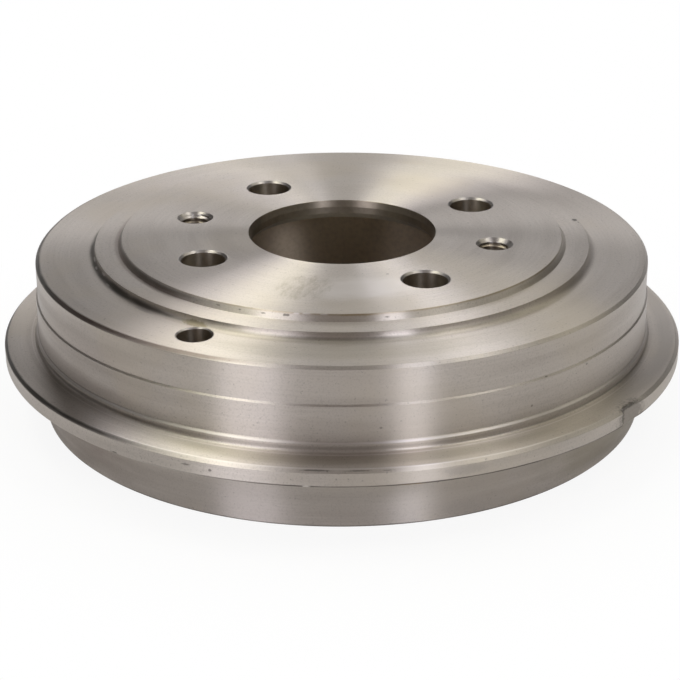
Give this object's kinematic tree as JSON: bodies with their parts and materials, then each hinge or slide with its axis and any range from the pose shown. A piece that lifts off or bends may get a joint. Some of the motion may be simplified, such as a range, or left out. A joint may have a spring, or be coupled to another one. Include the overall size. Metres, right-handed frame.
{
  "type": "brake drum",
  "caption": "Turned grey-iron brake drum with a stepped wall, an outer flange, a spigot bore, wheel bolt holes, jacking screw holes and an adjuster hole.",
  "frame": {"origin": "centre of the open rim's plane, on the drum's axis", "axes": "+Z along the axis from the open rim to the hub face; the wheel bolt holes stand at 30, 120, 210 and 300 degrees from +X"},
  "size_m": [0.215, 0.215, 0.054],
  "materials": {
    "turned_cast_iron": "turned bare grey iron, fine concentric tool marks"
  },
  "bodies": {
    "root": {"brake_drum": "turned_cast_iron"}
  },
  "joints": []
}
